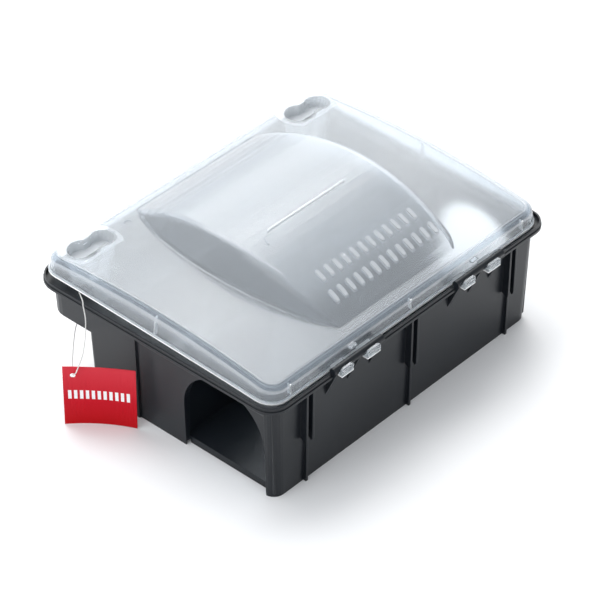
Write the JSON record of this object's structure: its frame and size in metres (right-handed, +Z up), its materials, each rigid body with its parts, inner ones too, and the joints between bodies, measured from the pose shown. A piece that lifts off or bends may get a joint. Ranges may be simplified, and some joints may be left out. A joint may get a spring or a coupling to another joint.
{
  "type": "rodent bait station",
  "caption": "Low rectangular bait station with a dark tub, an arched tunnel along one side, and a frosted domed lid hinged on snap-in bars, with a card tag on a string.",
  "frame": {"origin": "middle of the footprint at floor level", "axes": "+X along the long side, +Y from the hinge side to the lock side, +Z up"},
  "size_m": [0.2608, 0.1878, 0.1046],
  "materials": {
    "tub": "satin moulded black polypropylene",
    "lid": "frosted translucent natural polypropylene",
    "latch": "smooth natural acetal",
    "rod": "drawn steel wire",
    "card": "printed card with a satin coating",
    "string": "twisted cotton string"
  },
  "bodies": {
    "tub": {"tub": "tub", "tag_string": "string", "hang_tag": "card"},
    "lid": {"lid": "lid"},
    "latch_left": {"latch_left": "latch"},
    "latch_right": {"latch_right": "latch"},
    "bait_rod_left": {"bait_rod_left": "rod"},
    "bait_rod_right": {"bait_rod_right": "rod"}
  },
  "joints": [
    {"name": "lid_hinge", "type": "hinge", "parent": "tub", "child": "lid", "pos_m": [0, -0.08977, 0.0716], "axis": [1, 0, 0], "range_deg": [0, 105]},
    {"name": "latch_left_pivot", "type": "hinge", "parent": "tub", "child": "latch_left", "pos_m": [-0.0923, 0.06463, 0.0505], "axis": [1, 0, 0], "range_deg": [0, 16], "stiffness_Nm_per_rad": 0.03, "springref_deg": -14.32},
    {"name": "latch_right_pivot", "type": "hinge", "parent": "tub", "child": "latch_right", "pos_m": [0.0883, 0.06463, 0.0505], "axis": [1, 0, 0], "range_deg": [0, 16], "stiffness_Nm_per_rad": 0.03, "springref_deg": -14.32},
    {"name": "bait_rod_left_lift", "type": "slide", "parent": "tub", "child": "bait_rod_left", "axis": [0, 0, 1], "range_m": [0, 0.02]},
    {"name": "bait_rod_right_lift", "type": "slide", "parent": "tub", "child": "bait_rod_right", "axis": [0, 0, 1], "range_m": [0, 0.02]}
  ]
}
